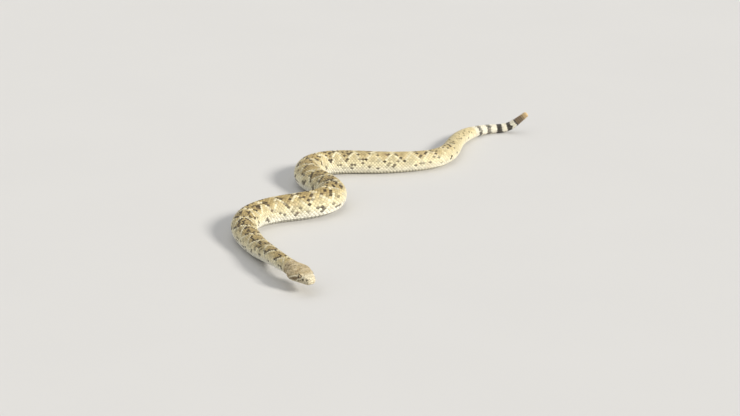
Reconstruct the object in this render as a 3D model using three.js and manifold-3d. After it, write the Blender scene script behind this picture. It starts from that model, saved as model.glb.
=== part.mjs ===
// A western diamondback rattlesnake (Crotalus atrox), life size, crawling with its head and rattle
// raised. The body is one long sweep: a cross-section that changes along the animal, carried by a
// smooth line on the ground. It is divided by thin cuts into head, lower jaw, neck, trunk lengths
// and tail; the eyes and the rattle segments are pieces of their own.
// Millimetres, +Z up, the floor at z = 0.

import * as THREE from "three";
import { mergeVertices } from "three/addons/utils/BufferGeometryUtils.js";
import Module from "manifold-3d";

const wasm = await Module();
wasm.setup();

// The line of the body

// Control points of the line under the belly, seen from above, from the neck joint to the tail's end,
// before CENTRE is taken off, which puts the middle of the whole animal over the origin.
const BODY_LINE = [
  [-151, -356],
  [-172, -325],
  [-195, -264],
  [-221, -209],
  [-240, -153],
  [-224, -100],
  [-173, -73],
  [-115, -58],
  [-88, -10],
  [-113, 42],
  [-145, 90],
  [-136, 148],
  [-83, 168],
  [-27, 163],
  [27, 170],
  [83, 188],
  [109, 234],
  [117, 290],
  [136, 341],
  [178, 388],
  [235, 386],
];
const CENTRE = [0, -5];
const HEAD_LENGTH = 55.6; // snout to neck joint
const TAIL_END = 1156; // from the snout; the rattle follows
const HEAD_LIFT = 16.5; // chin above the floor
const NECK_RISE = [66, 205]; // the neck comes down to the floor between these, from the snout
const TAIL_RISE_FROM = 1094; // the tail's end leaves the floor here
const TAIL_RISE_HEIGHT = 13; // of its belly at the tail's end
const TAIL_RISE_POWER = 4;
const STEPS_PER_SPAN = 60;

// The girth of the animal: [distance from the snout, value]

const HALF_WIDTH = [
  [0, 4.5],
  [1, 6.6],
  [2.8, 8.1],
  [6.4, 9.5],
  [10.7, 10.7],
  [16, 12.4],
  [21.4, 14.4],
  [27.8, 17],
  [31.5, 18.3],
  [35.5, 18.9],
  [39.5, 18.4],
  [43.5, 16.7],
  [47.5, 14.5],
  [51.5, 12.9],
  [55.6, 12.2],
  [98, 13.4],
  [200, 17.4],
  [320, 21.6],
  [450, 24],
  [600, 22.8],
  [740, 20.8],
  [860, 17.8],
  [950, 15.6],
  [1040, 12.2],
  [1090, 9.6],
  [1125, 8.4],
  [1156, 7.9],
];
const HEAD_TOP = [
  [0, 10],
  [1, 12],
  [2.8, 13.5],
  [6.4, 14.8],
  [10.7, 16],
  [16, 17.8],
  [21.4, 18.9],
  [27.8, 20],
  [35.3, 20.9],
  [42.8, 21.3],
  [49.2, 21.6],
  [55.6, 22],
];
const HEAD_BOTTOM = [
  [0, 4.3],
  [1, 2.9],
  [2.8, 1.7],
  [6.4, 0.9],
  [12.8, 0.3],
  [21.4, 0],
  [55.6, 0],
];
// How square the upper half of the section is: 2 is round.
const UPPER_POWER = [
  [0, 2.8],
  [6.4, 3.3],
  [16, 3.1],
  [27.8, 2.6],
  [42.8, 2.3],
  [64, 2.05],
  [1160, 2],
];
const WIDEST_LEVEL = [
  [0, 0.46],
  [16, 0.42],
  [35.3, 0.38],
  [55.6, 0.46],
  [85, 0.48],
  [1160, 0.48],
];
const BODY_HEIGHT = 1.81; // of the half width
const BELLY_SINK = 0.07; // of the half width: how far the round belly is flattened on the floor

// The cuts and the pieces

const GAP = 0.3; // between pieces that touch
const NECK_END = 150;
const TRUNK_CUTS = [150, 275, 405, 530, 655, 785, 920, 1062];
const TRUNK_SIDES = 17;
const HEAD_SIDES = 31;
const HEAD_RING = 2.1;

const SCUTE_LENGTH = 12; // belly scutes, coarser than the real ones
const SCUTE_BEVEL = 1.3;
const SCUTE_RAISE = 0.75;
const SCUTE_REACH = 1.15; // radians from the middle of the belly, where the scutes end

const EYE = { along: 15.6, out: 9.5, up: 12.7, radius: 3.1 };
const BROW = { along: 16.2, out: 8.7, up: 15.9, length: 5.7, width: 3.2, height: 1.5, tilt: -0.25 };
const NOSTRIL = { along: 3.3, out: 7.7, up: 10.3, radius: 1 };
const HEAT_PIT = { along: 9.2, out: 10.6, up: 9.7, radius: 1.45 };
const MOUTH_LINE = [
  [-3, 5.7],
  [0.5, 5.5],
  [4.3, 4.9],
  [9.6, 5.2],
  [16, 4.7],
  [22.5, 4.8],
  [28.9, 6],
  [34.2, 7.6],
  [38.5, 8.5],
];
const JAW_CORNER = [
  [41.1, 7.9],
  [42.6, 5.3],
  [43.4, 1],
  [43.9, -4],
];
const LIP_SWELL = 0.45;
const LIP_SPREAD = 1.3;

const RATTLE_SEGMENTS = 7;
const RATTLE_PITCH = 3.9;
const RATTLE_HALF_HEIGHT = 7.4;
const RATTLE_HALF_THICKNESS = 4.7;
const RATTLE_TIP_SHARE = 0.76; // size of the last segment, of the first
const RATTLE_SIDES = 14;
const RATTLE_GROOVE = 0.16; // depth of the groove along each side, of the radius

// Helpers for curves and tables

// A smooth curve through [position, value] pairs.
function along(table, x) {
  const last = table.length - 1;
  if (x <= table[0][0]) return table[0][1];
  if (x >= table[last][0]) return table[last][1];
  const i = table.findIndex((row) => row[0] > x) - 1;
  const slope = (k) => {
    const a = Math.max(k - 1, 0);
    const b = Math.min(k + 1, last);
    return (table[b][1] - table[a][1]) / (table[b][0] - table[a][0]);
  };
  const span = table[i + 1][0] - table[i][0];
  const t = (x - table[i][0]) / span;
  return (
    (1 + 2 * t) * (1 - t) ** 2 * table[i][1] +
    t * (1 - t) ** 2 * span * slope(i) +
    t * t * (3 - 2 * t) * table[i + 1][1] +
    t * t * (t - 1) * span * slope(i + 1)
  );
}

function smoothstep(low, high, x) {
  const t = Math.min(1, Math.max(0, (x - low) / (high - low)));
  return t * t * (3 - 2 * t);
}

// The body line as a uniform cubic B-spline, cut into short steps of known length.
function traceLine(points) {
  const last = points.length - 1;
  const mirrored = (end, next) => [2 * end[0] - next[0], 2 * end[1] - next[1]];
  const held = [mirrored(points[0], points[1]), ...points, mirrored(points[last], points[last - 1])];
  const steps = [];
  for (let k = 0; k <= last * STEPS_PER_SPAN; k++) {
    const i = Math.min(Math.floor(k / STEPS_PER_SPAN), last - 1);
    const u = k / STEPS_PER_SPAN - i;
    const weights = [
      (1 - u) ** 3 / 6,
      (3 * u ** 3 - 6 * u ** 2 + 4) / 6,
      (-3 * u ** 3 + 3 * u ** 2 + 3 * u + 1) / 6,
      u ** 3 / 6,
    ];
    const place = [0, 1].map((axis) => weights.reduce((sum, w, j) => sum + w * held[i + j][axis], -CENTRE[axis]));
    const before = steps[steps.length - 1];
    const far = before ? before.far + Math.hypot(place[0] - before.place[0], place[1] - before.place[1]) : HEAD_LENGTH;
    steps.push({ place, far });
  }
  return steps;
}

const line = traceLine(BODY_LINE);
const lineScale = (TAIL_END - HEAD_LENGTH) / (line[line.length - 1].far - HEAD_LENGTH);

// Place and heading of the line at a distance from the snout; straight on past both ends.
function lineAt(far) {
  const wanted = HEAD_LENGTH + (far - HEAD_LENGTH) / lineScale;
  let k = line.findIndex((step) => step.far > wanted);
  if (k < 0) k = line.length - 1;
  k = Math.max(k, 1);
  const a = line[k - 1];
  const b = line[k];
  const t = (wanted - a.far) / (b.far - a.far);
  const back = new THREE.Vector2(b.place[0] - a.place[0], b.place[1] - a.place[1]).normalize();
  const place = new THREE.Vector2(
    a.place[0] + t * (b.place[0] - a.place[0]),
    a.place[1] + t * (b.place[1] - a.place[1]),
  );
  return { place, back };
}

// Height of the belly over the floor, and how steeply it climbs towards the tail.
function lift(far) {
  const neck = HEAD_LIFT * (1 - smoothstep(NECK_RISE[0], NECK_RISE[1], far));
  const past = Math.max(0, far - TAIL_RISE_FROM) / (TAIL_END - TAIL_RISE_FROM);
  return neck + TAIL_RISE_HEIGHT * past ** TAIL_RISE_POWER;
}

function climb(far) {
  const reach = 0.5;
  return Math.atan2(lift(far + reach) - lift(far - reach), 2 * reach);
}

// The frame of a cross-section: the belly's middle, and the directions out to the side, up, and back to the tail.
function frameAt(far) {
  const { place, back } = lineAt(far);
  const pitch = climb(far);
  return {
    origin: new THREE.Vector3(place.x, place.y, lift(far)),
    side: new THREE.Vector3(-back.y, back.x, 0),
    up: new THREE.Vector3(-back.x * Math.sin(pitch), -back.y * Math.sin(pitch), Math.cos(pitch)),
    back: new THREE.Vector3(back.x * Math.cos(pitch), back.y * Math.cos(pitch), Math.sin(pitch)),
  };
}

// The cross-section of head and body

function girth(far) {
  const half = along(HALF_WIDTH, far);
  const bodyTop = BODY_HEIGHT * half;
  const top = far < HEAD_LENGTH ? along(HEAD_TOP, far) : bodyTop;
  const bottom = far < HEAD_LENGTH ? along(HEAD_BOTTOM, far) : 0;
  return {
    half,
    top,
    bottom,
    level: bottom + (top - bottom) * along(WIDEST_LEVEL, far),
    sink: BELLY_SINK * half,
    power: along(UPPER_POWER, far),
  };
}

const signedPower = (value, power) => Math.sign(value) * Math.abs(value) ** power;

// A point of the section at an angle from the middle of the belly: [out to the side, up].
function sectionPoint(g, angle, raise = 0) {
  const lower = Math.cos(angle) > 0;
  const power = 2 / (lower ? 2 : g.power);
  const reach = lower ? g.level - g.bottom + g.sink + raise : g.top - g.level;
  const out = (g.half + raise) * signedPower(Math.sin(angle), power);
  const up = g.level - reach * signedPower(Math.cos(angle), power);
  return [out, Math.max(up, g.bottom)];
}

// The angle at which the belly's flat ends.
function flatAngle(g) {
  const depth = g.level - g.bottom;
  return Math.acos(depth / (depth + g.sink));
}

// Solids from rings

// A closed mesh over rings of points, with flat ends.
function loft(rings) {
  const sides = rings[0].length;
  const points = rings.flat();
  const index = [];
  for (let r = 0; r + 1 < rings.length; r++)
    for (let k = 0; k < sides; k++) {
      const a = r * sides + k;
      const b = r * sides + ((k + 1) % sides);
      index.push(a, b, b + sides, a, b + sides, a + sides);
    }
  for (const [ring, outward] of [
    [0, false],
    [rings.length - 1, true],
  ]) {
    const middle = points.length;
    points.push(rings[ring].reduce((sum, p) => sum.add(p), new THREE.Vector3()).divideScalar(sides));
    for (let k = 0; k < sides; k++) {
      const a = ring * sides + k;
      const b = ring * sides + ((k + 1) % sides);
      index.push(...(outward ? [a, b, middle] : [b, a, middle]));
    }
  }
  const geometry = new THREE.BufferGeometry().setFromPoints(points);
  geometry.setIndex(index);
  return geometry;
}

function volumeOf(geometry) {
  const p = geometry.getAttribute("position");
  const at = (i) => new THREE.Vector3().fromBufferAttribute(p, i);
  const index = geometry.getIndex().array;
  let six = 0;
  for (let i = 0; i < index.length; i += 3)
    six += at(index[i]).dot(at(index[i + 1]).cross(at(index[i + 2])));
  return six / 6;
}

// The same geometry with its faces pointing out.
function facingOut(geometry) {
  if (volumeOf(geometry) < 0) geometry.getIndex().array.reverse();
  return geometry;
}

// A ring of the sweep. raise lifts the lower flanks, where the scutes end.
function bodyRing(far, sides, raise = 0) {
  const g = girth(far);
  const frame = frameAt(far);
  const start = flatAngle(g);
  const ring = [];
  for (let k = 0; k < sides; k++) {
    const angle = start + (2 * (Math.PI - start) * k) / (sides - 1);
    const low = Math.min(angle, 2 * Math.PI - angle);
    const onScute = 1 - smoothstep(SCUTE_REACH - 0.25, SCUTE_REACH, low);
    const [out, up] = sectionPoint(g, angle, raise * onScute);
    ring.push(frame.origin.clone().addScaledVector(frame.side, out).addScaledVector(frame.up, up));
  }
  return ring;
}

// A length of neck, trunk or tail, with belly scutes whose rear edges stand out.
function bodyLength(from, to) {
  const rings = [bodyRing(from, TRUNK_SIDES)];
  const count = Math.round((to - from) / SCUTE_LENGTH);
  const length = (to - from) / count;
  for (let n = 1; n <= count; n++) {
    const edge = from + n * length;
    rings.push(bodyRing(edge - SCUTE_BEVEL, TRUNK_SIDES, SCUTE_RAISE));
    rings.push(bodyRing(edge, TRUNK_SIDES));
  }
  return facingOut(loft(rings));
}

// Cutting and joining

function toSolid(geometry) {
  const plain = geometry.clone();
  plain.deleteAttribute("normal");
  plain.deleteAttribute("uv");
  const merged = mergeVertices(plain, 1e-4);
  return new wasm.Manifold(
    new wasm.Mesh({
      numProp: 3,
      vertProperties: new Float32Array(merged.getAttribute("position").array),
      triVerts: new Uint32Array(merged.getIndex().array),
    }),
  );
}

function toGeometry(solid) {
  const mesh = solid.getMesh();
  const geometry = new THREE.BufferGeometry();
  geometry.setAttribute("position", new THREE.BufferAttribute(new Float32Array(mesh.vertProperties), 3));
  geometry.setIndex(new THREE.BufferAttribute(new Uint32Array(mesh.triVerts), 1));
  return geometry;
}

const largestFirst = (solids) => solids.sort((a, b) => b.volume() - a.volume());

// Both sides of the head get the same piece, mirrored.
function onBothSides(make) {
  return [1, -1].map(make);
}

function ball(radius, wide, high, place, stretch = [1, 1, 1], turn = 0) {
  const geometry = new THREE.SphereGeometry(radius, wide, high);
  geometry.scale(...stretch);
  geometry.rotateX(turn);
  geometry.translate(...place);
  return geometry;
}

// The head, in its own frame: x back from the snout, y out to the right, z up from the chin

function headRing(far) {
  const g = girth(far);
  const lipLevel = along(MOUTH_LINE, far);
  const ring = [];
  for (let k = 0; k < HEAD_SIDES; k++) {
    const start = flatAngle(g);
    const angle = start + (2 * (Math.PI - start) * k) / (HEAD_SIDES - 1);
    const [out, up] = sectionPoint(g, angle);
    const lip = LIP_SWELL * Math.exp(-(((up - lipLevel) / LIP_SPREAD) ** 2));
    const share = far > 1 && far < 37 ? Math.abs(out) / g.half : 0;
    ring.push(new THREE.Vector3(far, out + Math.sign(out) * lip * share, up));
  }
  return ring;
}

function headForm() {
  const stations = [0, 0.9, 2.6];
  const last = HEAD_LENGTH - GAP;
  const rest = Math.round((last - 2.6) / HEAD_RING);
  for (let n = 1; n <= rest; n++) stations.push(2.6 + ((last - 2.6) * n) / rest);
  return toSolid(facingOut(loft(stations.map(headRing))));
}

// A thin curved slab along the line of the mouth, closed behind the corner of the jaw.
function mouthCut() {
  const path = [...MOUTH_LINE, ...JAW_CORNER].map(([x, z]) => new THREE.Vector2(x, z));
  const offset = (side) =>
    path.map((p, i) => {
      const before = path[Math.max(i - 1, 0)];
      const after = path[Math.min(i + 1, path.length - 1)];
      const run = after.clone().sub(before).normalize();
      return new THREE.Vector2(p.x - (side * run.y * GAP) / 2, p.y + (side * run.x * GAP) / 2);
    });
  const outline = new THREE.Shape([...offset(1), ...offset(-1).reverse()]);
  const width = 60;
  const slab = new THREE.ExtrudeGeometry(outline, { depth: width, bevelEnabled: false });
  slab.rotateX(Math.PI / 2);
  slab.translate(0, width / 2, 0);
  return toSolid(slab);
}

function browPlate(side) {
  return toSolid(
    ball(1, 14, 8, [BROW.along, side * BROW.out, BROW.up], [BROW.length, BROW.width, BROW.height], -side * BROW.tilt),
  );
}

function eyeSocket(side) {
  return toSolid(ball(EYE.radius + GAP, 16, 10, [EYE.along, side * EYE.out, EYE.up]));
}

function nostrilHole(side) {
  return toSolid(ball(NOSTRIL.radius, 8, 6, [NOSTRIL.along, side * NOSTRIL.out, NOSTRIL.up], [1.1, 1.3, 0.9]));
}

function heatPitHole(side) {
  return toSolid(ball(HEAT_PIT.radius, 10, 6, [HEAT_PIT.along, side * HEAT_PIT.out, HEAT_PIT.up], [1.1, 1.7, 0.9]));
}

function headPieces() {
  let whole = headForm();
  for (const plate of onBothSides(browPlate)) whole = whole.add(plate);
  for (const make of [eyeSocket, nostrilHole, heatPitHole])
    for (const hole of onBothSides(make)) whole = whole.subtract(hole);
  const [head, jaw] = largestFirst(whole.subtract(mouthCut()).decompose());
  return { head: toGeometry(head), jaw: toGeometry(jaw) };
}

// The rattle, each segment in the frame of the rattle: x along it, z up

// Share of the full size along one segment, from its front edge to its rear edge.
const RATTLE_PROFILE = [
  [0, 0.82],
  [0.25, 1],
  [0.65, 0.95],
  [1, 0.74],
];

function rattleSegment(n) {
  const size = 1 - ((1 - RATTLE_TIP_SHARE) * n) / (RATTLE_SEGMENTS - 1);
  const length = RATTLE_PITCH - GAP;
  const isTip = n === RATTLE_SEGMENTS - 1;
  const profile = isTip ? [...RATTLE_PROFILE.slice(0, 3), [1.05, 0.7], [1.35, 0.3]] : RATTLE_PROFILE;
  const rings = profile.map(([share, radius]) => {
    const ring = [];
    for (let k = 0; k < RATTLE_SIDES; k++) {
      const angle = (2 * Math.PI * k) / RATTLE_SIDES;
      const groove = 1 - RATTLE_GROOVE * Math.abs(Math.sin(angle)) ** 6;
      const out = size * radius * groove * RATTLE_HALF_THICKNESS * Math.sin(angle);
      const up = size * radius * RATTLE_HALF_HEIGHT * Math.cos(angle);
      ring.push(new THREE.Vector3(share * length, out, up));
    }
    return ring;
  });
  return facingOut(loft(rings));
}

// Materials

const finish = (color, roughness) => new THREE.MeshStandardMaterial({ color, roughness, metalness: 0 });
const SKIN = finish(0xcdb98a, 0.6);
const TAIL_SKIN = finish(0xe9e3d2, 0.6);
const EYE_FINISH = finish(0x6b5530, 0.15);
const KERATIN = finish(0xa98a5c, 0.45);
const DARK_KERATIN = finish(0x4a382a, 0.5);

// The model

const snake = new THREE.Group();

function addPiece(name, geometry, material, parent = snake) {
  geometry.computeVertexNormals();
  const piece = new THREE.Mesh(geometry, material);
  piece.name = name;
  parent.add(piece);
  return piece;
}

// A group whose x axis runs along back, y out to the side and z up.
function groupInFrame(frame) {
  const group = new THREE.Group();
  const turned = new THREE.Matrix4().makeBasis(frame.back, frame.side, frame.up);
  group.quaternion.setFromRotationMatrix(turned);
  group.position.copy(frame.origin);
  snake.add(group);
  return group;
}

const joint = frameAt(HEAD_LENGTH);
const headGroup = groupInFrame({
  ...joint,
  origin: joint.origin.clone().addScaledVector(joint.back, -HEAD_LENGTH),
});
const { head, jaw } = headPieces();
addPiece("head", head, SKIN, headGroup);
addPiece("lower_jaw", jaw, SKIN, headGroup);
for (const [name, side] of [
  ["eye_left", -1],
  ["eye_right", 1],
]) {
  const eye = addPiece(name, new THREE.SphereGeometry(EYE.radius, 14, 9), EYE_FINISH, headGroup);
  eye.position.set(EYE.along, side * EYE.out, EYE.up);
}

addPiece("neck", bodyLength(HEAD_LENGTH, NECK_END - GAP), SKIN);
TRUNK_CUTS.slice(0, -1).forEach((from, n) => {
  addPiece(`trunk_${n + 1}`, bodyLength(from, TRUNK_CUTS[n + 1] - GAP), SKIN);
});
addPiece("tail", bodyLength(TRUNK_CUTS[TRUNK_CUTS.length - 1], TAIL_END), TAIL_SKIN);

const tailTip = frameAt(TAIL_END);
const rattleGroup = groupInFrame({
  ...tailTip,
  origin: tailTip.origin
    .clone()
    .addScaledVector(tailTip.back, GAP)
    .addScaledVector(tailTip.up, girth(TAIL_END).level),
});
for (let n = 0; n < RATTLE_SEGMENTS; n++) {
  const segment = addPiece(
    `rattle_${n + 1}`,
    rattleSegment(n),
    n === 0 ? DARK_KERATIN : KERATIN,
    rattleGroup,
  );
  segment.position.x = n * RATTLE_PITCH;
}

export default snake;
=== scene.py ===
# A western diamondback rattlesnake at life size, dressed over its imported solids: one skin under a coat
# of keeled scales, belly scutes, head plates, eyes and a rattle. Lengths are millimetres until a mesh
# is made, which is in metres.

import math
import bmesh
import bpy
import numpy as np
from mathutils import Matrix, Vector


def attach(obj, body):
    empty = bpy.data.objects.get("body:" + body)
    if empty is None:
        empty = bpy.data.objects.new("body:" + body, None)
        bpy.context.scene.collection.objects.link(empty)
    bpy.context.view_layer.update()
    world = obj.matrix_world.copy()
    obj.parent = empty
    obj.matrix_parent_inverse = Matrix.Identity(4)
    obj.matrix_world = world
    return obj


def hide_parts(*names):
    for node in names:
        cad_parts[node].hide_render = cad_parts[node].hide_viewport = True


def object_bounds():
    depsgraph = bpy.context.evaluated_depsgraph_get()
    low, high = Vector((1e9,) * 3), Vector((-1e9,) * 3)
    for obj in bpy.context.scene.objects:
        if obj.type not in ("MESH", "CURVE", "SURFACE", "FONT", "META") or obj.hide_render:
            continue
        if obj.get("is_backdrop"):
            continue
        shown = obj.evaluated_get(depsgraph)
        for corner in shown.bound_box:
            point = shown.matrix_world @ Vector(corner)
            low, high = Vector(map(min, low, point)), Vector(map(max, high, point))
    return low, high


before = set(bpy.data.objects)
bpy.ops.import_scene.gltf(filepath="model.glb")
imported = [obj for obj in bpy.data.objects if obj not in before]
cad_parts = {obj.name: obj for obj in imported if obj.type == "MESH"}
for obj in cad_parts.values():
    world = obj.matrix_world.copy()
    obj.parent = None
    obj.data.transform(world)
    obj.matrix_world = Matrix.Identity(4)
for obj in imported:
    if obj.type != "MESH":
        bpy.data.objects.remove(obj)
cad_low, cad_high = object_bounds()

# Camera, lights and floor

PHOTO_WIDTH = 740
FOCAL_PIXELS = 2200
SENSOR_WIDTH = 36
CAMERA_PITCH = math.radians(20)
CAMERA_DISTANCE = 3.6396
LOOKED_AT = Vector((-0.0335, -0.0117, 0.0))

camera = bpy.data.objects.new("camera", bpy.data.cameras.new("camera"))
bpy.context.scene.collection.objects.link(camera)
camera.data.sensor_width = SENSOR_WIDTH
camera.data.lens = SENSOR_WIDTH * FOCAL_PIXELS / PHOTO_WIDTH
camera.data.clip_end = 100
towards_camera = Vector((0, -math.cos(CAMERA_PITCH), math.sin(CAMERA_PITCH)))
camera.location = LOOKED_AT + CAMERA_DISTANCE * towards_camera
camera.rotation_euler = (LOOKED_AT - camera.location).to_track_quat("-Z", "Y").to_euler()
bpy.context.scene.camera = camera


def soft_lamp(name, comes_from, strength, spread, colour=(1, 1, 1)):
    """Even light over the whole floor from one direction, with soft edged shadows."""
    light = bpy.data.lights.new(name, "SUN")
    light.energy = strength
    light.angle = math.radians(spread)
    light.color = colour
    lamp = bpy.data.objects.new(name, light)
    bpy.context.scene.collection.objects.link(lamp)
    lamp.rotation_euler = (-Vector(comes_from)).to_track_quat("-Z", "Y").to_euler()


soft_lamp("key_light", (1.9, -1.3, 1.35), 3.5, 14, (1, 0.97, 0.92))
soft_lamp("fill_light", (-1.8, -1.2, 2.0), 0.35, 50)
soft_lamp("top_light", (-0.2, 0.3, 1), 0.7, 70)

world = bpy.data.worlds.new("studio")
world.use_nodes = True
world.node_tree.nodes["Background"].inputs["Color"].default_value = (0.95, 0.97, 1, 1)
world.node_tree.nodes["Background"].inputs["Strength"].default_value = 0.4
bpy.context.scene.world = world
bpy.context.scene.view_settings.view_transform = "Standard"

# The line and the girth of the body, as in the solids

# Points that draw the line of the body over the floor, from the back of the head to the end of the tail
BODY_LINE = [
    (-151, -356), (-172, -325), (-195, -264), (-221, -209), (-240, -153), (-224, -100), (-173, -73),
    (-115, -58), (-88, -10), (-113, 42), (-145, 90), (-136, 148), (-83, 168), (-27, 163), (27, 170),
    (83, 188), (109, 234), (117, 290), (136, 341), (178, 388), (235, 386),
]
CENTRE = (0, -5)
HEAD_LENGTH = 55.6
TAIL_END = 1156
HEAD_LIFT = 16.5  # how far the head is off the floor
NECK_RISE = (66, 205)  # the stretch over which the neck comes down
TAIL_RISE_FROM = 1094
TAIL_RISE_HEIGHT = 13
TAIL_RISE_POWER = 4
STEPS_PER_SPAN = 60

# Each of these tables has pairs of a distance from the snout and the value there
HALF_WIDTH = [
    (0, 4.5), (1, 6.6), (2.8, 8.1), (6.4, 9.5), (10.7, 10.7), (16, 12.4), (21.4, 14.4), (27.8, 17),
    (31.5, 18.3), (35.5, 18.9), (39.5, 18.4), (43.5, 16.7), (47.5, 14.5), (51.5, 12.9), (55.6, 12.2),
    (98, 13.4), (200, 17.4), (320, 21.6), (450, 24), (600, 22.8), (740, 20.8), (860, 17.8), (950, 15.6),
    (1040, 12.2), (1090, 9.6), (1125, 8.4), (1156, 7.9),
]
HEAD_TOP = [
    (0, 10), (1, 12), (2.8, 13.5), (6.4, 14.8), (10.7, 16), (16, 17.8), (21.4, 18.9), (27.8, 20),
    (35.3, 20.9), (42.8, 21.3), (49.2, 21.6), (55.6, 22),
]
HEAD_BOTTOM = [(0, 4.3), (1, 2.9), (2.8, 1.7), (6.4, 0.9), (12.8, 0.3), (21.4, 0), (55.6, 0)]
UPPER_POWER = [(0, 2.8), (6.4, 3.3), (16, 3.1), (27.8, 2.6), (42.8, 2.3), (64, 2.05), (1160, 2)]
WIDEST_LEVEL = [(0, 0.46), (16, 0.42), (35.3, 0.38), (55.6, 0.46), (85, 0.48), (1160, 0.48)]
MOUTH_LINE = [
    (-3, 5.7), (0.5, 5.5), (4.3, 4.9), (9.6, 5.2), (16, 4.7), (22.5, 4.8), (28.9, 6), (34.2, 7.6),
    (38.5, 8.5),
]
BODY_HEIGHT = 1.81  # times the half width
BODY_LEVEL = 0.48  # where the body is widest, as a share of its height
BELLY_SINK = 0.07  # how much lower the belly would come if it were round, as a share of the half width
THICKEST_HALF = 24

LIP_SWELL = 0.45
LIP_SPREAD = 1.3
LIPS_BEGIN = (0.6, 1.4)
LIPS_END = (38, 33)

# Places on the head: back from the snout, out to the side and up from the chin
EYE_PLACE = (15.6, 9.5, 12.7)
EYE_RADIUS = 3.1
NOSTRIL_PLACE = (3.3, 7.7, 10.3)
HEAT_PIT_PLACE = (9.2, 10.6, 9.7)

# Measures of the coat

COAT_DEPTH = 0.75  # the skin lies this far inside the solids
BELLY_EDGE = 1.0  # radians from the middle of the belly to the lowest row of keeled scales
ROW_PITCH = 5.9  # from one scale to the next along a row, at the thickest part
THIN_PITCH = 0.62  # share of that pitch that is kept however thin the body is


def along(table, x):
    """A smooth curve through (position, value) pairs."""
    at, value = np.array(table, float).T
    last = len(at) - 1
    x = np.clip(np.asarray(x, float), at[0], at[-1])
    i = np.clip(np.searchsorted(at, x, side="right") - 1, 0, last - 1)
    before = np.maximum(np.arange(last + 1) - 1, 0)
    after = np.minimum(np.arange(last + 1) + 1, last)
    slope = (value[after] - value[before]) / (at[after] - at[before])
    span = at[i + 1] - at[i]
    t = (x - at[i]) / span
    return (
        (1 + 2 * t) * (1 - t) ** 2 * value[i]
        + t * (1 - t) ** 2 * span * slope[i]
        + t * t * (3 - 2 * t) * value[i + 1]
        + t * t * (t - 1) * span * slope[i + 1]
    )


def smoothstep(low, high, x):
    """0 at low and 1 at high, smooth between."""
    t = np.clip((x - low) / (high - low), 0, 1)
    return t * t * (3 - 2 * t)


def unit(v):
    return v / np.linalg.norm(v, axis=-1, keepdims=True)


def trace_line():
    """The line as a smooth curve: distances from the snout, places and directions back along it."""
    points = np.array(BODY_LINE, float) - CENTRE
    held = np.vstack([2 * points[0] - points[1], points, 2 * points[-1] - points[-2]])
    spans = len(points) - 1
    k = np.arange(spans * STEPS_PER_SPAN + 1)
    i = np.minimum(k // STEPS_PER_SPAN, spans - 1)
    u = (k / STEPS_PER_SPAN - i)[:, None]
    place = (
        (1 - u) ** 3 * held[i]
        + (3 * u**3 - 6 * u**2 + 4) * held[i + 1]
        + (-3 * u**3 + 3 * u**2 + 3 * u + 1) * held[i + 2]
        + u**3 * held[i + 3]
    ) / 6
    steps = np.linalg.norm(np.diff(place, axis=0), axis=1)
    far = np.concatenate([[0], np.cumsum(steps)])
    far = HEAD_LENGTH + far * (TAIL_END - HEAD_LENGTH) / far[-1]
    return far, place, unit(np.gradient(place, axis=0))


LINE_FAR, LINE_PLACE, LINE_BACK = trace_line()


def lift(far):
    """How far the belly is off the floor."""
    neck = HEAD_LIFT * (1 - smoothstep(*NECK_RISE, far))
    past = np.clip(far - TAIL_RISE_FROM, 0, None) / (TAIL_END - TAIL_RISE_FROM)
    return neck + TAIL_RISE_HEIGHT * past**TAIL_RISE_POWER


def frames(far):
    """Origin on the belly line, and the directions to the side, up and back, at distances from the snout."""
    far = np.asarray(far, float)
    held = np.clip(far, HEAD_LENGTH, TAIL_END)
    back = unit(np.stack([np.interp(held, LINE_FAR, LINE_BACK[:, a]) for a in (0, 1)], -1))
    place = np.stack([np.interp(held, LINE_FAR, LINE_PLACE[:, a]) for a in (0, 1)], -1)
    pitch = np.arctan2(lift(held + 0.5) - lift(held - 0.5), 1)
    along_back = (far - held)[..., None]
    cos, sin = np.cos(pitch), np.sin(pitch)
    back3 = np.stack([back[..., 0] * cos, back[..., 1] * cos, sin], -1)
    side = np.stack([-back[..., 1], back[..., 0], 0 * cos], -1)
    up = np.stack([-back[..., 0] * sin, -back[..., 1] * sin, cos], -1)
    origin = np.concatenate([place, lift(held)[..., None]], -1) + along_back * back3
    return origin, side, up, back3


def section(far, angle):
    """Out to the side and up, of the section at angles from the middle of the belly."""
    far, angle = np.broadcast_arrays(np.asarray(far, float), np.asarray(angle, float))
    half = along(HALF_WIDTH, far)
    head = far < HEAD_LENGTH
    top = np.where(head, along(HEAD_TOP, far), BODY_HEIGHT * half)
    bottom = np.where(head, along(HEAD_BOTTOM, far), 0)
    level = bottom + (top - bottom) * along(WIDEST_LEVEL, far)
    lower = np.cos(angle) > 0
    power = 2 / np.where(lower, 2, along(UPPER_POWER, far))
    reach = np.where(lower, level - bottom + BELLY_SINK * half, top - level)

    def bent(v):
        return np.sign(v) * np.abs(v) ** power

    out = half * bent(np.sin(angle))
    up = np.maximum(level - reach * bent(np.cos(angle)), bottom)
    lips = LIP_SWELL * np.exp(-(((up - along(MOUTH_LINE, far)) / LIP_SPREAD) ** 2))
    out = out + out * lips / half * smoothstep(*LIPS_BEGIN, far) * smoothstep(*LIPS_END, far)
    return out, up


def head_levels(far):
    """Half width, top, widest level and bottom of the head."""
    top, bottom = along(HEAD_TOP, far), along(HEAD_BOTTOM, far)
    return along(HALF_WIDTH, far), top, bottom + (top - bottom) * along(WIDEST_LEVEL, far), bottom


def half_width_at(far, up):
    """How far out to the side the head reaches at a height."""
    half, top, level, bottom = head_levels(far)
    upper = up > level
    power = np.where(upper, along(UPPER_POWER, far), 2)
    reach = np.where(upper, top - level, level - bottom + BELLY_SINK * half)
    share = np.clip(np.abs(up - level) / reach, 0, 1)
    return np.where(up < bottom, 0, half * (1 - share**power) ** (1 / power))


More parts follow.
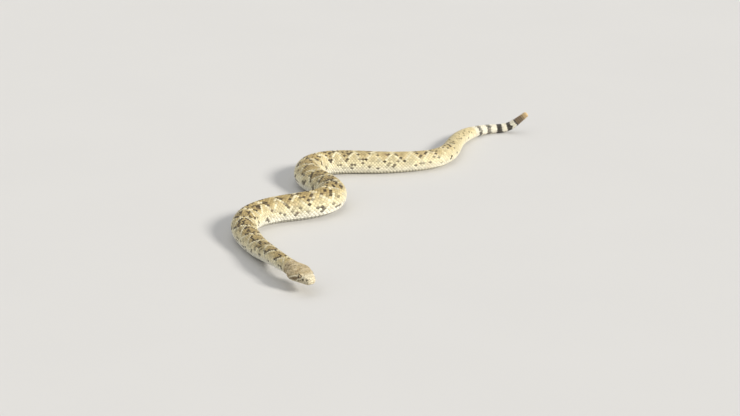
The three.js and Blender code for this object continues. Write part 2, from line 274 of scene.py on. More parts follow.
def crown_height(far, across):
    """How high the top of the head is, at a distance from its middle."""
    half, top, level, _ = head_levels(far)
    power = along(UPPER_POWER, far)
    return level + (top - level) * (1 - (across / half) ** power) ** (1 / power)


def skin_place(far, angle):
    """Places on the solids' surface, at angles from the middle of the belly."""
    origin, side, up3, _ = frames(far)
    out, up = section(far, angle)
    return origin + out[..., None] * side + up[..., None] * up3


def surface(far, angle):
    """Places on the solids' surface, the directions out of it and back along it, and its stretch."""
    far, angle = np.broadcast_arrays(np.asarray(far, float), np.asarray(angle, float))
    step, turn_step = 0.4, 0.02
    place = skin_place(far, angle)
    run = (skin_place(far + step, angle) - skin_place(far - step, angle)) / (2 * step)
    turn = skin_place(far, angle + turn_step) - skin_place(far, angle - turn_step)
    out = unit(np.cross(run, turn))
    origin, _, up3, _ = frames(far)
    middle_up = np.where(far < HEAD_LENGTH, 0.45 * along(HEAD_TOP, far), 0.9 * along(HALF_WIDTH, far))
    facing = np.sum(out * (place - origin - up3 * middle_up[..., None]), -1, keepdims=True)
    out = np.where(facing < 0, -out, out)
    return place, out, unit(run), np.linalg.norm(run, axis=-1)


def around_of(angle):
    """0 in the middle of the back, 1 and -1 at the edge of the belly."""
    return (angle - math.pi) / (math.pi - BELLY_EDGE)


def row_pitch(far):
    """From one scale to the next along a row, shorter where the body is thin."""
    return ROW_PITCH * (THIN_PITCH + (1 - THIN_PITCH) * along(HALF_WIDTH, far) / THICKEST_HALF)


def near(points, place):
    """How far points are from a place."""
    return np.linalg.norm(points - np.array(place), axis=-1)


def head_to_frame(points):
    """Points of the head's own space, back, right and up from the snout's chin, set in the row frame."""
    points = np.asarray(points, float)
    origin, side, up, back = frames(np.array([0.0]))
    return origin[0] + points[..., :1] * back[0] + points[..., 1:2] * side[0] + points[..., 2:3] * up[0]


# Meshes


def make_mesh(name, points, faces, values=None, scale=0.001):
    """A smooth mesh in metres from millimetre points, with named numbers on its points."""
    mesh = bpy.data.meshes.new(name)
    mesh.from_pydata((np.asarray(points) * scale).tolist(), [], faces)
    mesh.update()
    mesh.polygons.foreach_set("use_smooth", [True] * len(mesh.polygons))
    for key, numbers in (values or {}).items():
        numbers = np.asarray(numbers, float)
        kind = "FLOAT" if numbers.ndim == 1 else "FLOAT_VECTOR"
        layer = mesh.attributes.new(key, kind, "POINT")
        layer.data.foreach_set("value" if kind == "FLOAT" else "vector", numbers.ravel())
    return mesh


def add_piece(name, mesh, material, nodes=()):
    """A piece of the model in one material, in the place of those nodes of the solids."""
    mesh.materials.clear()
    mesh.materials.append(material)
    piece = bpy.data.objects.new(name, mesh)
    bpy.context.scene.collection.objects.link(piece)
    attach(piece, "root")
    if nodes:
        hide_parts(*nodes)


def tube_faces(rings, sides):
    """Faces of a tube of rings, and of fans to two more points at its ends."""
    faces = []
    for r in range(rings - 1):
        for k in range(sides):
            a = r * sides + k
            b = r * sides + (k + 1) % sides
            faces.append((a, b, b + sides, a + sides))
    first, last = rings * sides, rings * sides + 1
    end_row = (rings - 1) * sides
    for k in range(sides):
        after = (k + 1) % sides
        faces.append((k, first, after))
        faces.append((end_row + k, end_row + after, last))
    return faces


def face_out(mesh):
    """Turns the faces of a closed mesh outwards."""
    work = bmesh.new()
    work.from_mesh(mesh)
    bmesh.ops.recalc_face_normals(work, faces=work.faces)
    work.to_mesh(mesh)
    work.free()


# Nodes of materials and of the coat


def set_socket(tree, socket, value):
    """Links a socket to another one, or gives it a value."""
    if isinstance(value, Wire):
        value = value.socket
    if isinstance(value, bpy.types.NodeSocket):
        tree.links.new(value, socket)
    elif socket.type == "RGBA" and len(value) == 3:
        socket.default_value = (*value, 1)
    else:
        socket.default_value = value


def add_node(tree, kind, settings, inputs, output=0):
    """A node with its settings, then the values or links of its sockets, for one of its outputs."""
    node = tree.nodes.new(kind)
    for key, value in settings.items():
        setattr(node, key, value)
    for key, value in inputs.items():
        set_socket(tree, node.inputs[key], value)
    return node.outputs[output]


class Wire:
    """A socket that takes part in expressions: each operator adds a Math node."""

    def __init__(self, paint, socket):
        self.paint = paint
        self.socket = socket

    def _math(self, operation, *values):
        return self.paint.node("ShaderNodeMath", {"operation": operation}, dict(enumerate(values)))

    def __add__(self, other):
        return self._math("ADD", self, other)

    __radd__ = __add__

    def __sub__(self, other):
        return self._math("SUBTRACT", self, other)

    def __rsub__(self, other):
        return self._math("SUBTRACT", other, self)

    def __mul__(self, other):
        return self._math("MULTIPLY", self, other)

    __rmul__ = __mul__

    def __truediv__(self, other):
        return self._math("DIVIDE", self, other)

    def __abs__(self):
        return self._math("ABSOLUTE", self)

    def __pow__(self, other):
        return self._math("POWER", self, other)

    def __lt__(self, other):
        return self._math("LESS_THAN", self, other)

    def __gt__(self, other):
        return self._math("GREATER_THAN", self, other)

    def fract(self):
        return self._math("FRACT", self)

    def most(self, other):
        return self._math("MAXIMUM", self, other)

    def ease(self, low, high):
        """0 below low and 1 above high, smooth between."""
        settings = {"interpolation_type": "SMOOTHSTEP"}
        values = {"Value": self, "From Min": low, "From Max": high, "To Min": 0.0, "To Max": 1.0}
        return self.paint.node("ShaderNodeMapRange", settings, values, "Result")

    def hump(self, low, high, edge):
        """1 between low and high, falling to 0 over edge on both sides."""
        return self.ease(low - edge, low) * (1 - self.ease(high, high + edge))


class Paint:
    """One material being made."""

    def __init__(self, name):
        self.material = bpy.data.materials.new(name)
        self.material.use_nodes = True
        self.tree = self.material.node_tree

    def node(self, kind, settings, inputs, output=0):
        return Wire(self, add_node(self.tree, kind, settings, inputs, output))

    def number(self, name):
        return self.node("ShaderNodeAttribute", {"attribute_name": name}, {}, "Fac")

    def vector(self, name):
        return self.node("ShaderNodeAttribute", {"attribute_name": name}, {}, "Vector")

    def part(self, vector, letter):
        return self.node("ShaderNodeSeparateXYZ", {}, {0: vector}, letter)

    def place(self):
        return self.node("ShaderNodeTexCoord", {}, {}, "Object")

    def spot(self):
        """A place on the animal that is the same all over one scale."""
        inputs = {0: self.number("along") * 0.001, 1: self.number("around") * 0.045}
        return self.node("ShaderNodeCombineXYZ", {}, inputs)

    def noise(self, size, detail=2.0, vector=None):
        """Noise around 0.5; size is the width of its patches in millimetres."""
        inputs = {"Vector": vector or self.place(), "Scale": 1000 / size, "Detail": detail}
        return self.node("ShaderNodeTexNoise", {"noise_dimensions": "3D"}, inputs, "Fac")

    def mix(self, share, a, b):
        inputs = {"Factor": share, 6: a, 7: b}
        return self.node("ShaderNodeMix", {"data_type": "RGBA", "clamp_factor": True}, inputs, 2)

    def shade(self, colour, amount):
        """The colour made darker or lighter by a number over the surface."""
        brightness = self.node("ShaderNodeCombineXYZ", {}, {0: amount, 1: amount, 2: amount})
        settings = {"data_type": "RGBA", "blend_type": "MULTIPLY"}
        return self.node("ShaderNodeMix", settings, {"Factor": 1.0, 6: colour, 7: brightness}, 2)

    def bump(self, height, depth):
        """Height from 0 to 1 stands for depth, in millimetres."""
        inputs = {"Strength": 1.0, "Distance": depth / 1000, "Height": height}
        return self.node("ShaderNodeBump", {}, inputs, "Normal")

    def finish(self, **sockets):
        """The material, with those sockets of its shader set or linked."""
        shader = self.tree.nodes["Principled BSDF"]
        for key, value in sockets.items():
            set_socket(self.tree, shader.inputs[key.replace("_", " ")], value)
        return self.material


def tint(red, green, blue):
    """A colour as a screen shows it, made linear."""
    shown = [channel / 255 for channel in (red, green, blue)]
    return tuple(v / 12.92 if v <= 0.04045 else ((v + 0.055) / 1.055) ** 2.4 for v in shown)


# Markings

BLOTCH_FROM = 72  # where the first diamond begins, from the snout
BLOTCH_PITCH = 33
DIAMOND_REACH = 0.66  # how far round the sides the diamonds come
TAIL_WHITE_FROM = 1060
# Stretches of the body, from the snout, over which the markings change
NECK_BEGINS = (56, 64)
DIAMONDS_BEGIN = (60, 68)
DIAMONDS_WEAKEN = (620, 760)
DIAMONDS_FADE = (830, 990)
BACK_PALES = (560, 800)
# Dark rings of the tail: middle, half width, and how black they are
TAIL_RINGS = [(1076, 4.8, 0.72), (1099.5, 4.8, 0.8), (1123, 5.8, 0.95), (1144, 4.8, 0.95)]
# On the head, bands run back and down. Each has its fall and the levels that it lies between
EYE_BAND_FALL = 0.37
EYE_BAND = (7.6, 12.4)
REAR_STRIPE = (13.4, 14.9)
FRONT_STRIPE_FALL = 0.62
FRONT_STRIPE = (12.2, 14.2)

BACK_TAN = tint(206, 186, 132)
FLANK_CREAM = tint(240, 229, 188)
LOW_WHITE = tint(250, 246, 228)
DIAMOND_BROWN = tint(166, 142, 90)
SPECK_DARK = tint(66, 52, 32)
OUTLINE_PALE = tint(251, 244, 212)
RING_BLACK = tint(34, 27, 21)
TAIL_WHITE = tint(240, 235, 216)
HEAD_TAN = tint(220, 203, 165)
HEAD_DARK = tint(110, 87, 56)
STRIPE_PALE = tint(246, 236, 204)
LIP_CREAM = tint(234, 222, 188)
# The colour of the painted shade in the nostrils, heat pits and mouth line
HOLLOW_SHADE = tint(40, 28, 22)


def diamond_markings(paint, chance, far, round_body, spot):
    """The colour of the body and its dark scales; chance is a number from 0 to 1 for each scale."""
    other_chance = (chance * 37.7).fract()
    third_chance = (chance * 91.3).fract()

    # ground colour from back to belly
    colour = paint.mix(round_body.ease(0.25, 0.72), BACK_TAN, FLANK_CREAM)
    colour = paint.mix(round_body.ease(0.62, 0.98), colour, LOW_WHITE)
    colour = paint.mix(far.ease(*BACK_PALES) * 0.36, colour, FLANK_CREAM)

    # diamonds down the back, with broken dark edges and pale outlines
    turn = ((far - BLOTCH_FROM) / BLOTCH_PITCH).fract()
    wander = (paint.noise(19, 2, spot) - 0.5) * 0.4
    from_middle = abs(turn - 0.5) * 2 + round_body / DIAMOND_REACH + wander
    fade = 1 - far.ease(*DIAMONDS_WEAKEN) * 0.18 - far.ease(*DIAMONDS_FADE) * 0.72
    on_body = far.ease(*DIAMONDS_BEGIN) * (1 - far.ease(TAIL_WHITE_FROM - 20, TAIL_WHITE_FROM))
    inside = (1 - from_middle.ease(0.62, 0.86)) * fade * on_body
    colour = paint.mix(inside * (0.42 + 0.4 * other_chance), colour, DIAMOND_BROWN)
    outline = from_middle.hump(0.97, 1.15, 0.06) * (1 - round_body.ease(0.8, 0.95)) * on_body * fade
    colour = paint.mix(outline * 0.56, colour, OUTLINE_PALE)
    edge = from_middle.hump(0.76, 0.9, 0.08) * fade * on_body
    crowding = paint.noise(13, 1, spot).ease(0.34, 0.62)
    speck = (chance < edge * (0.18 + 0.56 * crowding)).most(chance < 0.13 * inside)
    keel = 0.62 + 0.38 * paint.number("ridge").ease(0.02, 0.17)
    colour = paint.mix(speck * keel * (0.74 + 0.26 * other_chance), colour, SPECK_DARK)

    # small faint blotches low on the sides, between the diamonds
    side_turn = abs((turn + 0.5).fract() - 0.5) * 2
    side_spot = (1 - side_turn.ease(0.25, 0.6)) * round_body.hump(0.7, 0.86, 0.08) * on_body * fade
    colour = paint.mix((other_chance < side_spot * 0.34) * 0.8 * keel, colour, SPECK_DARK)

    # loose dark scales anywhere on the back
    upper = (1 - round_body.ease(0.7, 0.95)) * on_body
    loose = (third_chance > 0.955) * 0.66 + (third_chance < 0.24) * 0.26 * fade
    return paint.mix(loose * upper * keel, colour, SPECK_DARK)


def tail_markings(paint, chance, far, spot, colour):
    """The body's colour with the tail nearly white, and its dark rings."""
    on_tail = far.ease(TAIL_WHITE_FROM - 4, TAIL_WHITE_FROM + 6)
    colour = paint.mix(on_tail * 0.85, colour, TAIL_WHITE)
    ragged = (paint.noise(6, 1, spot) - 0.5) * 1.6
    for middle, half, depth in TAIL_RINGS:
        ring = abs(far - middle + ragged) < half
        colour = paint.mix(ring * (depth - (1 - depth) * 1.6 * (chance - 0.5)), colour, RING_BLACK)
    return colour


def head_markings(paint, chance, far, spot):
    """The colour of the head: a dark band through the eye between two pale stripes, and a pale snout, partly
    its own cream and partly painted light.
    """
    level = paint.number("level")
    colour = paint.mix(paint.noise(9, 2, spot).ease(0.42, 0.6) * 0.5, HEAD_TAN, DIAMOND_BROWN)
    colour = paint.mix((chance < 0.12) * 0.55, colour, HEAD_DARK)
    # A paler snout: partly its own cream colour, partly painted light on the front of the head.
    colour = paint.mix(0.75 * (1 - far.ease(5, 17)), colour, STRIPE_PALE)
    behind_eye = (far - 17) * EYE_BAND_FALL + level
    band = behind_eye.hump(*EYE_BAND, 0.6) * far.ease(14, 17)
    colour = paint.mix(band * 0.75, colour, HEAD_DARK)
    rear_stripe = behind_eye.hump(*REAR_STRIPE, 0.5) * far.ease(17, 19) * (1 - far.ease(40, 44))
    before_eye = (far - 9) * FRONT_STRIPE_FALL + level
    front_stripe = before_eye.hump(*FRONT_STRIPE, 0.6) * (1 - far.ease(22, 26)) * far.ease(5, 8)
    front_stripe = front_stripe * (level < 15.3)
    colour = paint.mix(rear_stripe.most(front_stripe) * 0.9, colour, STRIPE_PALE)
    chin = paint.mix(paint.noise(3).ease(0.54, 0.64) * 0.4, LIP_CREAM, HEAD_TAN)
    colour = paint.mix(1 - level.ease(3.6, 6.0), colour, chin)
    colour = paint.mix(paint.noise(2.6, 3).ease(0.48, 0.7) * 0.34, colour, HEAD_DARK)
    return paint.mix(paint.noise(0.7, 2).ease(0.57, 0.66) * 0.42, colour, HEAD_DARK)


def markings(paint, chance):
    """The colour of skin and scales by place on the animal."""
    far = paint.number("along")
    spot = paint.spot()
    colour = diamond_markings(paint, chance, far, abs(paint.number("around")), spot)
    colour = tail_markings(paint, chance, far, spot, colour)
    head = head_markings(paint, chance, far, spot)
    return paint.mix(1 - far.ease(*NECK_BEGINS), colour, head)


def scale_material(name, roughness, dust):
    """Scales in one finish: the markings with their own random tone, a painted highlight on the keels,
    painted shade at the covered roots and at the tips, and dust in places.
    """
    paint = Paint(name)
    chance = paint.number("chance")
    colour = markings(paint, chance)
    ridge = paint.number("ridge")
    tip = paint.number("tip")
    fine = paint.noise(0.9, 4)
    broad = paint.noise(26, 3)
    # Painted light: the keels are made lighter as a painted highlight, and the roots (under the scale
    # before) and the tips darker as painted shade; the noise and chance terms are the scales' own tone.
    tone_with_painted_light = 0.8 + 0.3 * ridge + 0.16 * (fine - 0.5) + 0.18 * (broad - 0.5) + 0.22 * (chance - 0.5)
    tone_with_painted_light = tone_with_painted_light * (0.55 + 0.45 * tip.ease(0.2, 0.62)) * (1 - 0.4 * tip.ease(0.84, 1))
    colour = paint.shade(colour, tone_with_painted_light)
    colour = paint.mix(paint.noise(9, 4).ease(0.52, 0.75) * dust, colour, tint(196, 158, 118))
    grain = paint.bump(paint.noise(0.35, 3), 0.05)
    rough = roughness + 0.16 * (paint.noise(2.2, 3) - 0.5) - 0.06 * ridge
    return paint.finish(Base_Color=colour, Roughness=rough, Normal=grain, Specular_IOR_Level=0.42)


def skin_material():
    """The skin between the scales: the same markings, darkened as painted shade between the scales, and
    darkest, as painted shade, in the nostrils, heat pits and mouth line.
    """
    paint = Paint("skin_between_scales")
    chance = paint.noise(4.6, 0)
    colour = markings(paint, chance.ease(0.25, 0.75))
    # Painted shade: the skin seen between the scales is darkened.
    colour = paint.shade(colour, 0.42 + 0.3 * (paint.noise(1.1, 4) - 0.5))
    # Painted shade in the nostrils, heat pits and mouth line.
    hollow = paint.number("hollow")
    colour = paint.mix(hollow, colour, HOLLOW_SHADE)
    folds = paint.bump(paint.noise(0.8, 4), 0.18)
    rough = 0.62 + 0.2 * (paint.noise(3, 3) - 0.5)
    return paint.finish(Base_Color=colour, Roughness=rough, Normal=folds, Specular_IOR_Level=0.35)


def eye_material():
    """A pale iris with a slit, under a clear gloss."""
    paint = Paint("eye_under_clear_scale")
    gaze = paint.vector("gaze")
    ahead, upward = paint.part(gaze, "X"), paint.part(gaze, "Y")
    radius = (ahead * ahead + upward * upward) ** 0.5
    streaks = paint.noise(0.5, 4)
    iris = paint.mix(streaks.ease(0.35, 0.65), tint(176, 146, 96), tint(112, 86, 52))
    iris = paint.mix((upward + (streaks - 0.5) * 0.3).ease(0.05, 0.35), iris, tint(206, 184, 136))
    iris = paint.mix(radius.ease(0.74, 0.88), iris, tint(46, 34, 24))
    slit = (abs(ahead) / (0.125 - 0.36 * upward * upward).most(0.001)).ease(0.85, 1.1)
    colour = paint.mix(slit, (0.006, 0.005, 0.005), iris)
    rough = 0.1 + 0.1 * (paint.noise(1.2, 3) - 0.4)
    return paint.finish(Base_Color=colour, Roughness=rough, Coat_Weight=0.9, Coat_Roughness=0.04)


def horn_material():
    """Horn, dark at the base of the rattle and straw at its tip, with painted shade at the base and in the
    waist of each ring, a pale line round each ring as a painted highlight, and paler streaks as painted
    highlight.
    """
    paint = Paint("rattle_horn")
    far = paint.number("along")
    share = paint.number("tip")
    sheen_streak = paint.noise(0.7, 5)
    blotch = paint.noise(3.2, 3)
    aged = paint.mix(far.ease(0.5, 1.0), tint(56, 40, 27), tint(218, 190, 138))
    colour = paint.mix(blotch.ease(0.42, 0.66) * 0.3, aged, tint(112, 80, 48))
    # Painted highlight: paler streaks over the horn.
    colour = paint.mix(sheen_streak.ease(0.5, 0.7) * 0.14, colour, tint(200, 168, 118))
    # Painted shade where each ring comes out from under the one before and in its waist; a painted highlight
    # as a pale line round its crest.
    colour = paint.mix(share.hump(-0.1, 0.14, 0.12) * 0.85, colour, tint(40, 27, 18))
    colour = paint.mix(share.hump(0.58, 0.66, 0.05) * 0.6, colour, tint(58, 40, 26))
    colour = paint.mix(share.hump(0.37, 0.46, 0.05) * 0.9, colour, tint(222, 192, 142))
    colour = paint.mix(far < 0.09, colour, tint(50, 38, 30))
    grain = paint.bump(paint.noise(0.5, 5), 0.12)
    rough = 0.42 + 0.25 * (paint.noise(1.5, 3) - 0.5)
    waxy = {"Coat_Weight": 0.12, "Coat_Roughness": 0.35}
    return paint.finish(Base_Color=colour, Roughness=rough, Normal=grain, **waxy)


def floor_material():
    paint = Paint("studio_floor")
    colour = paint.shade((0.63, 0.62, 0.6), 0.985 + 0.03 * (paint.noise(240, 2) - 0.5))
    return paint.finish(Base_Color=colour, Roughness=0.85)


# The skin under the scales

SKIN_SIDES = 120
HEAD_STEP = 0.75
BODY_STEP = 3.6
NOSTRIL_RADIUS = 1.15
NOSTRIL_DEPTH = 1.7
HEAT_PIT_RADIUS = 1.9
HEAT_PIT_DEPTH = 2.1
MOUTH_HALF = 0.5
MOUTH_DEPTH = 0.9
HOLLOWS_TO = 42  # no hollow of the head lies behind this


def skin_stations():
    """Where along the animal the rings of the skin lie."""
    head = np.arange(0.25, 60, HEAD_STEP)
    body = np.arange(62, TAIL_END - 1, BODY_STEP)
    return np.concatenate([head, body, [TAIL_END - 0.2]])


def skin_mesh():
    """One skin from snout to rattle, hollow at the nostrils, the heat pits and the mouth."""
    far = skin_stations()[:, None] * np.ones(SKIN_SIDES)
    angle = np.ones((len(far), 1)) * np.linspace(0, 2 * math.pi, SKIN_SIDES, endpoint=False)
    place, out, _, _ = surface(far, angle)
    side_out, level = section(far, angle)
    own = np.stack([far, np.abs(side_out), level], -1)
    on_head = far < HOLLOWS_TO
    nostril = np.exp(-((near(own, NOSTRIL_PLACE) / NOSTRIL_RADIUS) ** 4)) * on_head
    pit = np.exp(-((near(own, HEAT_PIT_PLACE) / HEAT_PIT_RADIUS) ** 4)) * on_head
    mouth = np.exp(-(((level - along(MOUTH_LINE, far)) / MOUTH_HALF) ** 2)) * on_head
    mouth = mouth * smoothstep(HOLLOWS_TO - 1, HOLLOWS_TO - 4, far)
    depth = COAT_DEPTH + NOSTRIL_DEPTH * nostril + HEAT_PIT_DEPTH * pit + MOUTH_DEPTH * mouth
    depth = depth * np.where(far < 3, 0.9, 1)
    points = place - depth[..., None] * out
    # How far into a nostril, heat pit or the mouth line a point lies, for the painted shade there
    hollow = np.clip(np.maximum(nostril, pit) ** 2 + 0.9 * mouth**2, 0, 1)
    ends = [points[0].mean(0), points[-1].mean(0)]

    def with_ends(numbers, first, last):
        return np.concatenate([numbers.reshape(-1), [first, last]])

    values = {
        "along": with_ends(far, 0, TAIL_END),
        "around": with_ends(around_of(angle), 0, 0),
        "level": with_ends(level, 7, 7),
        "hollow": with_ends(hollow, 0, 0),
    }
    faces = tube_faces(len(far), SKIN_SIDES)
    mesh = make_mesh("skin", np.vstack([points.reshape(-1, 3), ends]), faces, values)
    face_out(mesh)
    unwrap(mesh, values["along"], values["around"])
    return mesh


def unwrap(mesh, far, around):
    """The skin laid flat, along by around, with the faces on the seam kept whole."""
    corners = loop_points(mesh)
    u = np.asarray(far)[corners] / (TAIL_END + 40)
    v = 0.5 + 0.3 * np.asarray(around)[corners]
    for polygon in mesh.polygons:
        rows = slice(polygon.loop_start, polygon.loop_start + polygon.loop_total)
        if np.ptp(v[rows]) > 0.4:
            v[rows] = np.where(v[rows] < 0.5, v[rows] + 0.9, v[rows])
    set_bake_map(mesh, u, v)


def loop_points(mesh):
    """The point of each corner of the faces."""
    corners = np.empty(len(mesh.loops), int)
    mesh.loops.foreach_get("vertex_index", corners)
    return corners


def set_bake_map(mesh, u, v):
    """The OFBake map, from a place on it for each corner."""
    layer = mesh.uv_layers.new(name="OFBake")
    layer.data.foreach_set("uv", np.stack([u, v], -1).ravel())


# The coat of scales


def scale_shape(name, keel, dome=0.16, thickness=0.08, half_widths=(0.3, 0.5, 0.49, 0.29)):
    """One scale, of length and width 1, as a closed keeled shell: x to the tip, y across, z out."""
    stations = (-0.5, -0.18, 0.16, 0.4)
    across = (-1, -0.55, -0.15, 0, 0.15, 0.55, 1)
    columns = len(across)
    points, ridge, tip = [], [], []
    for x, half in zip(stations, half_widths):
        for y in across:
            height = dome * (1 - y * y) * (0.6 + 0.8 * half) + (keel if y == 0 else 0)
            points.append((x, y * half, height))
            ridge.append(1.0 if y == 0 else 0.4 * (1 - abs(y)))
            tip.append(x + 0.5)
    peak = len(points)
    points.append((0.5, 0, keel * 0.6))
    ridge.append(0.6)
    tip.append(1.0)
    faces = []
    last_row = (len(stations) - 1) * columns
    for a in range(last_row):
        if (a + 1) % columns:
            faces.append((a, a + columns, a + columns + 1, a + 1))
    for k in range(columns - 1):
        faces.append((last_row + k, peak, last_row + k + 1))
    top_faces = len(faces)
    left = [r * columns for r in range(len(stations))]
    rim = left + [peak] + [a + columns - 1 for a in left[::-1]]
    low = len(points)
    for i in rim:
        x, y, z = points[i]
        points.append((x * 0.97, y * 0.93, z - thickness))
        ridge.append(0.0)
        tip.append(tip[i])
    count = len(rim)
    for k in range(count - 1):
        faces.append((rim[k], low + k, low + k + 1, rim[k + 1]))
    faces.append((*range(columns), low + count - 1, low))
    faces.append(tuple(low + k for k in range(count))[::-1])
    mesh = make_mesh(name, points, faces, {"ridge": ridge, "tip": tip}, scale=1)
    face_out(mesh)
    mesh.polygons.foreach_set("use_smooth", [i < top_faces for i in range(len(mesh.polygons))])
    return mesh


def coat_tree():
    """Scales set on points: each stands on its point, turned by the point's out and back."""
    tree = bpy.data.node_groups.new("coat_of_scales", "GeometryNodeTree")
    tree.is_modifier = True
    sockets = {
        "Geometry": "NodeSocketGeometry",
        "Scale shape": "NodeSocketObject",
        "Size variation": "NodeSocketFloat",
        "Seed": "NodeSocketInt",
        "Finish": "NodeSocketMaterial",
    }
    for name, kind in sockets.items():
        tree.interface.new_socket(name, in_out="INPUT", socket_type=kind)
    tree.interface.new_socket("Geometry", in_out="OUTPUT", socket_type="NodeSocketGeometry")
    given = tree.nodes.new("NodeGroupInput").outputs

    def stored(name):
        settings = {"data_type": "FLOAT_VECTOR"}
        return add_node(tree, "GeometryNodeInputNamedAttribute", settings, {"Name": name}, "Attribute")

    shape = add_node(tree, "GeometryNodeObjectInfo", {}, {"Object": given["Scale shape"]}, "Geometry")
    axes = {"primary_axis": "Z", "secondary_axis": "X"}
    turn = add_node(tree, "FunctionNodeAxesToRotation", axes, {0: stored("out"), 1: stored("back")})
    variation = {0: 1.0, 1: given["Size variation"]}
    least = add_node(tree, "ShaderNodeMath", {"operation": "SUBTRACT"}, variation)
    most = add_node(tree, "ShaderNodeMath", {"operation": "ADD"}, variation)
    limits = {2: least, 3: most, "Seed": given["Seed"]}
    varied = add_node(tree, "FunctionNodeRandomValue", {"data_type": "FLOAT"}, limits, 1)
    sizes = {0: stored("size"), "Scale": varied}
    size = add_node(tree, "ShaderNodeVectorMath", {"operation": "SCALE"}, sizes)
    placing = {"Points": given["Geometry"], "Instance": shape, "Rotation": turn, "Scale": size}
    scales = add_node(tree, "GeometryNodeInstanceOnPoints", {}, placing)
    solid = add_node(tree, "GeometryNodeRealizeInstances", {}, {0: scales})
    finishing = {"Geometry": solid, "Material": given["Finish"]}
    finished = add_node(tree, "GeometryNodeSetMaterial", {}, finishing)
    tree.links.new(finished, tree.nodes.new("NodeGroupOutput").inputs[0])
    return tree


PATCH = 0.003  # how wide each scale is on the OFBake map
MAP_MARGIN = 0.02
COAT_TREE = coat_tree()
random_draw = np.random.default_rng(7)


def set_scales(name, shape, seeds, material, variation=0.05, seed=1):
    """A piece of the coat, with a scale on each seed: its place, out, back, size and spot on the animal."""
    count = len(seeds["place"])
    values = {key: seeds[key] for key in ("out", "back", "along", "around", "level")}
    values["size"] = seeds["size"] * 0.001
    values["chance"] = random_draw.random(count)
    points = make_mesh(name + "_seeds", seeds["place"], [], values)
    holder = bpy.data.objects.new(name + "_seeds", points)
    pattern = bpy.data.objects.new(name + "_shape", shape)
    for helper in (holder, pattern):
        bpy.context.scene.collection.objects.link(helper)
    grow = holder.modifiers.new("coat", "NODES")
    grow.node_group = COAT_TREE
    sockets = {s.name: s.identifier for s in COAT_TREE.interface.items_tree if s.in_out == "INPUT"}
    grow[sockets["Scale shape"]] = pattern
    grow[sockets["Size variation"]] = variation
    grow[sockets["Seed"]] = seed
    grow[sockets["Finish"]] = material
    bpy.context.view_layer.update()
    grown = holder.evaluated_get(bpy.context.evaluated_depsgraph_get())
    mesh = bpy.data.meshes.new_from_object(grown)
    mesh.name = name
    holder.modifiers.clear()
    for helper in (holder, pattern):
        bpy.data.objects.remove(helper)
    bake_patches(mesh, shape, values)
    add_piece(name, mesh, material)


def bake_patches(mesh, shape, values):
    """Each scale is a small patch at its own place on the unwrap of the skin."""
    own = np.array([v.co[:2] for v in shape.vertices])
    patch = (own - own.mean(0)) / np.ptp(own, 0) * PATCH

    def spread(numbers):
        return MAP_MARGIN + (1 - 2 * MAP_MARGIN) * (numbers - numbers.min()) / (np.ptp(numbers) + 1e-6)

    middles = np.stack([spread(values["along"]), spread(values["around"])], -1)
    set_patches(mesh, (middles[:, None] + patch).reshape(-1, 2))


def set_patches(mesh, spots):
    """The bake map from a place on it for each point."""
    set_bake_map(mesh, *np.asarray(spots)[loop_points(mesh)].T)


# Where the scales grow

GIRTH_STEPS = 361
OVERLAP = 1.42  # how long a keeled scale is for its pitch
SIDE_OVERLAP = 1.62  # and how wide for its share of the girth


def angles_by_length(far, low, high, shares):
    """Angles that part the girth between two angles into those shares of its length, and that length."""
    angles = np.linspace(low, high, GIRTH_STEPS)
    out, up = section(np.full(angles.shape, far), angles)
    steps = np.hypot(np.diff(out), np.diff(up))
    length = np.concatenate([[0], np.cumsum(steps)])
    return np.interp(np.asarray(shares) * length[-1], length, angles), length[-1]


def row_of(far, angle, length, width):
    """A row round the animal, as columns of far, angle, length and width."""
    return np.stack(np.broadcast_arrays(far, angle, length, width))


def rows_of_scales(start, end, rows):
    """Far, angle, length and width for keeled rows, every other row set back by half a scale."""
    found = []
    far = start
    shares = np.linspace(0, 1, rows)
    while far < end:
        pitch = float(row_pitch(far))
        for parity in (0, 1):
            here = far + parity * pitch / 2
            angle, girth = angles_by_length(here, BELLY_EDGE, 2 * math.pi - BELLY_EDGE, shares[parity::2])
            found.append(row_of(here, angle, pitch, girth / (rows - 1)))
        far += pitch
    return np.concatenate(found, -1)


def seeds_on_surface(far, angle, length, width, rise, sink):
    """Seeds for scales of a length and width, tipped up by rise so that each lies over the next."""
    place, out, back, stretch = surface(far, angle)
    _, level = section(far, angle)
    length = length * np.clip(stretch, 0.45, 1.5)
    return {
        "place": place - sink * out,
        "out": unit(out - rise * back),
        "back": unit(back + rise * out),
        "size": np.stack([length, width, width], -1),
        "along": far,
        "around": around_of(angle),
        "level": level,
    }


def body_seeds(start, end, rows):
    """Keeled scales over the back and sides of a length of body."""
    far, angle, length, width = rows_of_scales(start, end, rows)
    return seeds_on_surface(far, angle, length * OVERLAP, width * SIDE_OVERLAP, rise=0.13, sink=0.62)


# Belly scutes

SCUTE_REACH = 1.2  # radians from the middle of the belly to a scute's end
SCUTE_TOP = [(-0.5, 0.06), (-0.1, 0.034), (0.3, 0.016), (0.46, 0.008), (0.5, 0.014)]
SCUTE_UNDER = [(0.5, 0.04), (-0.5, 0.1)]


